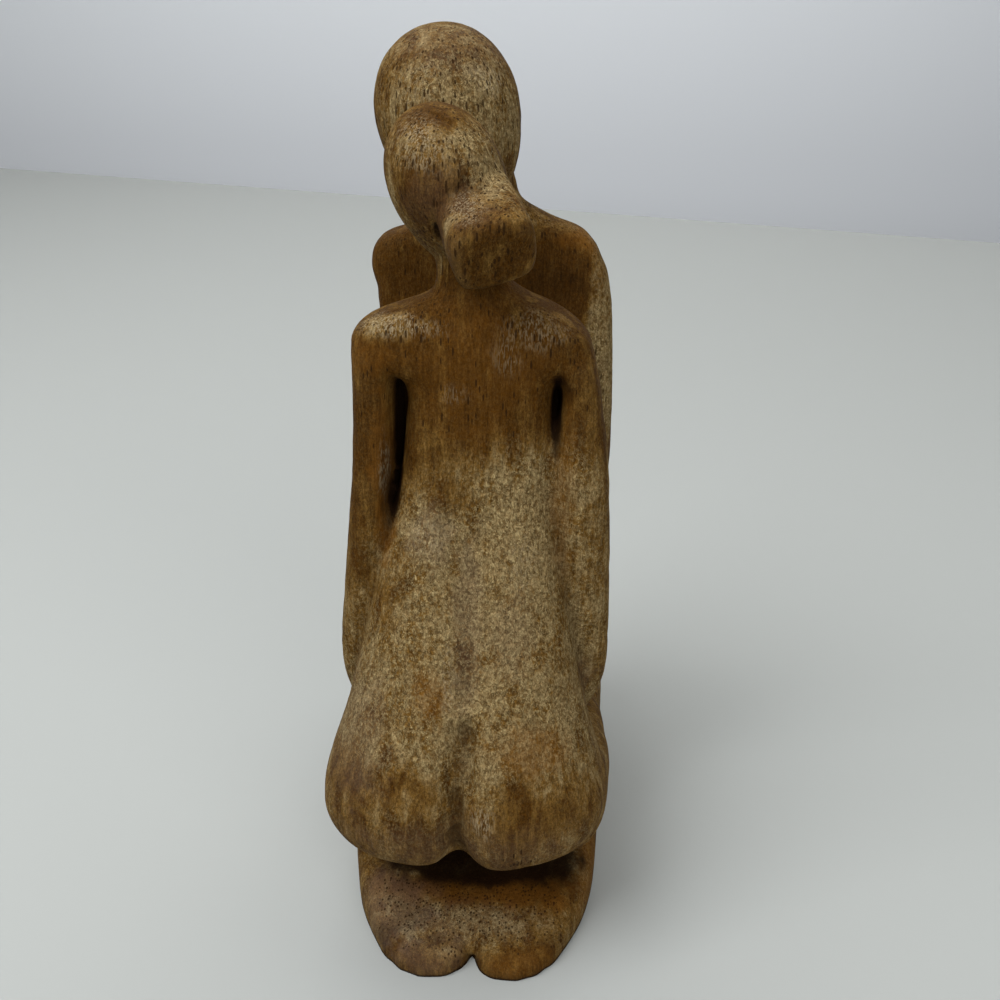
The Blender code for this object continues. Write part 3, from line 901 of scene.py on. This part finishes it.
def measure_patina_and_painted_light(mesh):
    """Keeps how far the dark wax is worn off, how open the pores are, the tints, the dirt, and the
    painted shade and light.

    Wear is near 0 above an arch across each back, at 118 + 0.42 s - 0.012 s^2 mm with s the
    way to the figure's right, and with ARCH_DRIFT for its edge. Below it 0.68 is added, less
    0.24 on the arms and less up to 0.42 towards the feet. Then come 0.30 on the heads,
    WORN_DRIFT and the wear patches, some of which are painted shade and painted light. Pores
    are wider on the heads, above the arch and in their patches. Dirt and painted shade are in
    their patches, a painted contact shadow runs along the lowest rim, and painted shade lies in
    the dark cuts.
    """
    places, _ = corners_of(mesh)
    x, y, z = places.T
    across = np.where(y < 0, x, -x)
    arch = 118 + 0.42 * across - 0.012 * across**2 + layered(places, ARCH_DRIFT)
    low = step(-9, 10, arch - z)
    arms = step(15, 20, np.abs(x)) * step(60, 75, z)
    feet = step(64, 44, z)
    head = step(150, 162, z)
    contact_shadow = step(1.5, 0.3, z)
    wear_and_light = 0.02 + low * (0.68 - 0.24 * arms - 0.42 * feet) + 0.30 * head
    wear_and_light += (1 - 0.5 * head) * layered(places, WORN_DRIFT)
    # Wear patches; the rows marked so add painted shade and painted light
    wear_and_light += patches(places, WEAR_SHADE_AND_LIGHT_PATCHES)
    pores = 0.15 + 0.30 * head + 0.35 * (1 - low) + patches(places, OPEN_PORES)
    # Dirt and painted shade from the rows, and a painted contact shadow along the lowest rim
    dirt_and_shade = patches(places, DIRT_AND_SHADE_PATCHES, 0.6, 0.4) + 0.7 * contact_shadow
    near_cuts = wandered(places)
    # Painted shade inside the cuts
    for width, _, dark, path in CUTS:
        dirt_and_shade += dark * nearness(near_cuts, path, 0.7 * width)
    mark(mesh, "open", np.clip(pores, 0, 1))
    mark(mesh, "wear_and_light", np.clip(wear_and_light, -0.12, 1))
    mark(mesh, "warm", np.clip(patches(places, WARM), 0, 1))
    mark(mesh, "grey", np.clip(patches(places, GREY), 0, 1))
    mark(mesh, "chalk_and_highlight", np.clip(patches(places, CHALK_AND_HIGHLIGHT_PATCHES, 0.6), 0, 1))
    mark(mesh, "dirt_and_shade", np.clip(dirt_and_shade, 0, 1))


def carved_couple(wood):
    """The statue as one skin."""
    skin_mesh = worked(
        forms_mesh(),
        "skin",
        ("REMESH", {"mode": "VOXEL", "voxel_size": VOXEL * MM}),
        ("SMOOTH", {"factor": 0.5, "iterations": SMOOTHING_PASSES}),
    )
    carve(skin_mesh)
    cutter = floor_cutter()
    mesh = worked(
        skin_mesh,
        "kissing_couple_carved",
        ("DECIMATE", {"ratio": MOST_TRIANGLES / triangles_in(skin_mesh)}),
        ("BOOLEAN", {"operation": "DIFFERENCE", "solver": "EXACT", "object": cutter}),
    )
    bpy.data.objects.remove(cutter)
    mesh.polygons.foreach_set("use_smooth", np.ones(len(mesh.polygons), bool))
    measure_hollows_and_crests(mesh)
    measure_patina_and_painted_light(mesh)
    mesh.materials.clear()
    mesh.materials.append(wood)
    carved = bpy.data.objects.new("carved_couple", mesh)
    bpy.context.scene.collection.objects.link(carved)
    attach(carved, "root")
    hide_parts("kissing_couple")


class Nodes:
    """Builds a material's nodes, with numbers, colours or other nodes' outputs as inputs."""

    def __init__(self, name):
        self.material = bpy.data.materials.new(name)
        self.material.use_nodes = True
        self.tree = self.material.node_tree
        self.shader = self.tree.nodes["Principled BSDF"]

    def add(self, kind, inputs, **settings):
        """A node of a kind, with its inputs joined and its settings set."""
        node = self.tree.nodes.new(kind)
        for key, value in settings.items():
            setattr(node, key, value)
        for key, value in inputs.items():
            self.join(node.inputs[key], value)
        return node

    def join(self, socket, value):
        """Links an output to the socket, or sets the socket to a plain value."""
        if isinstance(value, bpy.types.NodeSocket):
            self.tree.links.new(value, socket)
        else:
            socket.default_value = value

    def sum(self, first, second, operation="ADD"):
        """first + second, or another operation on both."""
        return self.add("ShaderNodeMath", {0: first, 1: second}, operation=operation).outputs[0]

    def times(self, first, second):
        """first times second."""
        return self.sum(first, second, "MULTIPLY")

    def off_middle(self, value, size):
        """How far a noise is from its middle, 0.5, times a size."""
        return self.times(self.sum(value, -0.5), size)

    def step(self, value, low, high, start=0.0, end=1.0):
        """start up to low, end from high on, and a smooth step between them."""
        node = self.add(
            "ShaderNodeMapRange",
            {"Value": value, "From Min": low, "From Max": high, "To Min": start, "To Max": end},
            interpolation_type="SMOOTHSTEP",
        )
        return node.outputs["Result"]

    def noise(self, vector, scale, detail=2.0, distortion=0.0):
        """A soft noise of so many blotches per unit of the vector."""
        node = self.add(
            "ShaderNodeTexNoise",
            {"Vector": vector, "Scale": scale, "Detail": detail, "Distortion": distortion},
        )
        return node.outputs["Fac"]

    def stretched(self, vector, sizes):
        """The vector times sizes along X, Y and Z."""
        node = self.add("ShaderNodeVectorMath", {0: vector, 1: sizes}, operation="MULTIPLY")
        return node.outputs[0]

    def attribute(self, name):
        """The value that mark keeps under that name."""
        return self.add("ShaderNodeAttribute", {}, attribute_name=name).outputs["Fac"]

    def mix(self, factor, first, second, blend="MIX"):
        """Two colours blended by a factor."""
        node = self.tree.nodes.new("ShaderNodeMix")
        node.data_type = "RGBA"
        node.blend_type = blend
        self.join(node.inputs[0], factor)
        self.join(node.inputs[6], first)
        self.join(node.inputs[7], second)
        return node.outputs[2]

    def line(self, value, core, reach):
        """1 along the contour where a noise passes its middle, 0 further than reach from it."""
        off = self.add("ShaderNodeMath", {0: self.sum(value, -0.5)}, operation="ABSOLUTE")
        return self.step(off.outputs[0], core, reach, 1.0, 0.0)


def carved_wood():
    """Brown wood under worn dark wax: open pores, curled fibres, grain, painted shade with some
    dirt in the hollows, gaps and cuts, and a few painted highlights.

    Lengths are millimetres on the statue's own coordinates. The grain runs along Z, so the
    pores are dashes on upright faces and dots on level ones.
    """
    n = Nodes("carved_wood")
    own = n.add("ShaderNodeTexCoord", {}).outputs["Object"]
    place = n.stretched(own, (1 / MM, 1 / MM, 1 / MM))
    wear_and_light = n.attribute("wear_and_light")
    open_wood = n.attribute("open")

    blotch = n.noise(n.stretched(place, (1, 1, 0.6)), 0.20, 3.0, 0.8)
    mottle = n.noise(place, 0.55, 3.0, 1.0)
    speck = n.noise(place, 1.5, 2.0, 0.8)
    bands = n.noise(n.stretched(place, (0.38, 0.38, 0.05)), 1.0, 2.0, 0.6)
    grain = n.noise(n.stretched(place, (2.2, 2.2, 0.14)), 1.0, 3.0, 0.3)
    fuzz = n.noise(n.stretched(place, (2.8, 2.8, 1.3)), 1.0, 2.0, 1.2)

    # How bare the wood is, with its uneven edge; under the wax it is more even. The wear value also
    # holds some patches of painted shade and painted light.
    uneven = n.sum(n.off_middle(blotch, 1.8), n.off_middle(mottle, 0.45))
    uneven = n.sum(uneven, n.off_middle(bands, 2.2))
    uneven = n.times(uneven, n.step(wear_and_light, 0.0, 0.5, 0.60, 1.0))
    bare = n.sum(n.sum(wear_and_light, uneven), n.off_middle(speck, 0.2))
    colour = n.mix(n.step(bare, -0.1, 0.45), WAXED, HALF_BARE)
    colour = n.mix(n.step(bare, 0.34, 0.90), colour, BARE)

    # Curled fibres: pale and dark contour lines of two noises, broken up, mostly on bare wood
    along = n.stretched(place, (1, 1, 0.55))
    pale_lines = n.line(n.noise(along, 1.9, 1.0, 1.6), 0.05, 0.15)
    pale_broken = n.step(n.noise(place, 1.2, 1.0), 0.36, 0.62)
    pale_curls = n.times(n.times(pale_lines, pale_broken), n.step(wear_and_light, 0.1, 0.7, 0.04, 0.75))
    colour = n.mix(pale_curls, colour, PALE_FIBRE)
    dark_lines = n.line(n.noise(along, 1.6, 1.0, 1.9), 0.045, 0.14)
    dark_broken = n.step(n.noise(place, 1.1, 1.0, 0.5), 0.38, 0.62)
    dark_curls = n.times(n.times(dark_lines, dark_broken), n.step(wear_and_light, 0.1, 0.7, 0.30, 0.75))
    colour = n.mix(dark_curls, colour, DARK_FIBRE)

    # Fuzz of torn fibres
    colour = n.mix(1.0, colour, n.mix(n.step(fuzz, 0.32, 0.68), *FUZZ_RANGE), "MULTIPLY")

    # Tints, and pale chalk that is partly painted highlight on the heads, the hair knob's top and
    # her left shoulder
    colour = n.mix(n.times(n.attribute("warm"), 0.60), colour, ORANGE)
    colour = n.mix(n.times(n.attribute("grey"), 0.40), colour, GREYED)
    fibres = n.noise(n.stretched(place, (2.6, 2.6, 0.5)), 1.0, 2.0, 0.8)
    chalk_and_highlight_mask = n.times(n.attribute("chalk_and_highlight"), n.step(fibres, 0.45, 0.62))
    colour = n.mix(n.times(chalk_and_highlight_mask, 0.55), colour, CHALK_AND_HIGHLIGHT_TONE)

    # Grain, painted shade with some dirt in the hollows, bare crests, and caked dirt with painted
    # shade in gaps, slits, creases and cuts
    colour = n.mix(1.0, colour, n.mix(n.step(grain, 0.3, 0.7), *GRAIN_RANGE), "MULTIPLY")
    colour = n.mix(n.times(n.attribute("hollow"), 0.6), colour, HOLLOW_SHADE_AND_DIRT)
    colour = n.mix(n.times(n.attribute("crest"), 0.22), colour, PALE_CREST)
    dirt_and_shade_mask = n.step(n.sum(n.attribute("dirt_and_shade"), n.off_middle(mottle, 0.3)), 0.1, 0.8)
    colour = n.mix(n.times(dirt_and_shade_mask, 0.92), colour, CAKED_DIRT_AND_SHADE)

    # Pores: some of the cells' middles, more and wider ones where the wood is open
    cells = n.add(
        "ShaderNodeTexVoronoi",
        {"Vector": n.stretched(place, (1.3, 1.3, 0.25)), "Scale": 1.0, "Randomness": 0.9},
    )
    kind = n.add("ShaderNodeSeparateColor", {"Color": cells.outputs["Color"]}).outputs["Red"]
    wide = n.step(open_wood, 0.0, 1.0, 0.17, 0.34)
    reach = n.times(n.step(n.sum(kind, n.times(open_wood, 0.8)), 0.7, 1.4), wide)
    off = n.sum(cells.outputs["Distance"], reach, "SUBTRACT")
    pore = n.step(off, -0.06, 0.02, 1.0, 0.0)
    colour = n.mix(n.times(pore, 0.80), colour, DARK_PORE)

    # Heights are in mm
    height = n.sum(n.times(pore, -0.15), n.off_middle(grain, 0.15))
    for relief, size in ((pale_curls, 0.13), (dark_curls, -0.13), (speck, 0.16), (fuzz, 0.16)):
        height = n.sum(height, n.times(relief, size))
    bump = n.add("ShaderNodeBump", {"Height": height, "Distance": MM, "Strength": 1.0})
    roughness = n.sum(n.step(bare, 0.0, 1.0, 0.62, 0.85), n.off_middle(mottle, 0.15))
    n.join(n.shader.inputs["Base Color"], colour)
    n.join(n.shader.inputs["Roughness"], roughness)
    n.join(n.shader.inputs["Normal"], bump.outputs["Normal"])
    n.shader.inputs["Specular IOR Level"].default_value = 0.02
    return n.material


def camera():
    """The photograph's view: from just above the heads, tilted down and a little rolled."""
    data = bpy.data.cameras.new("view")
    data.lens = 36
    data.sensor_width = 36
    data.clip_start = 0.01
    seen = bpy.data.objects.new("view", data)
    turn = Matrix.Rotation(math.radians(VIEW_TURN), 4, "Z")
    tilt = Matrix.Rotation(math.radians(90 - VIEW_TILT), 4, "X")
    roll = Matrix.Rotation(math.radians(VIEW_ROLL), 4, "Z")
    seen.matrix_world = Matrix.Translation(VIEW_PLACE) @ turn @ tilt @ roll
    bpy.context.scene.collection.objects.link(seen)
    bpy.context.scene.camera = seen


def light(name, place, aim, size, power, colour):
    """A soft square lamp that looks at aim."""
    data = bpy.data.lights.new(name, "AREA")
    data.shape = "SQUARE"
    data.size = size
    data.energy = power
    data.color = colour
    lamp = bpy.data.objects.new(name, data)
    lamp.location = place
    lamp.rotation_euler = (Vector(aim) - Vector(place)).to_track_quat("-Z", "Y").to_euler()
    bpy.context.scene.collection.objects.link(lamp)


def flat_sheet(name, corners, colour, roughness):
    """A flat stage piece through four corners, in metres."""
    mesh = bpy.data.meshes.new(name)
    mesh.from_pydata(corners, [], [(0, 1, 2, 3)])
    material = bpy.data.materials.new(name)
    material.use_nodes = True
    shader = material.node_tree.nodes["Principled BSDF"]
    shader.inputs["Base Color"].default_value = colour
    shader.inputs["Roughness"].default_value = roughness
    mesh.materials.append(material)
    sheet = bpy.data.objects.new(name, mesh)
    bpy.context.scene.collection.objects.link(sheet)


def studio():
    """A pale table, a pale wall behind it, and soft light from the viewer's left."""
    flat_sheet("table", TABLE, TABLE_COLOUR, 0.85)
    flat_sheet("wall", WALL, WALL_COLOUR, 0.9)
    for lamp in LAMPS:
        light(*lamp)
    world = bpy.data.worlds.new("studio")
    world.use_nodes = True
    background = world.node_tree.nodes["Background"]
    background.inputs["Color"].default_value = SKYLIGHT
    background.inputs["Strength"].default_value = SKYLIGHT_STRENGTH
    bpy.context.scene.world = world
    bpy.context.scene.view_settings.view_transform = "Standard"


def main():
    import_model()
    carved_couple(carved_wood())
    camera()
    studio()


main()
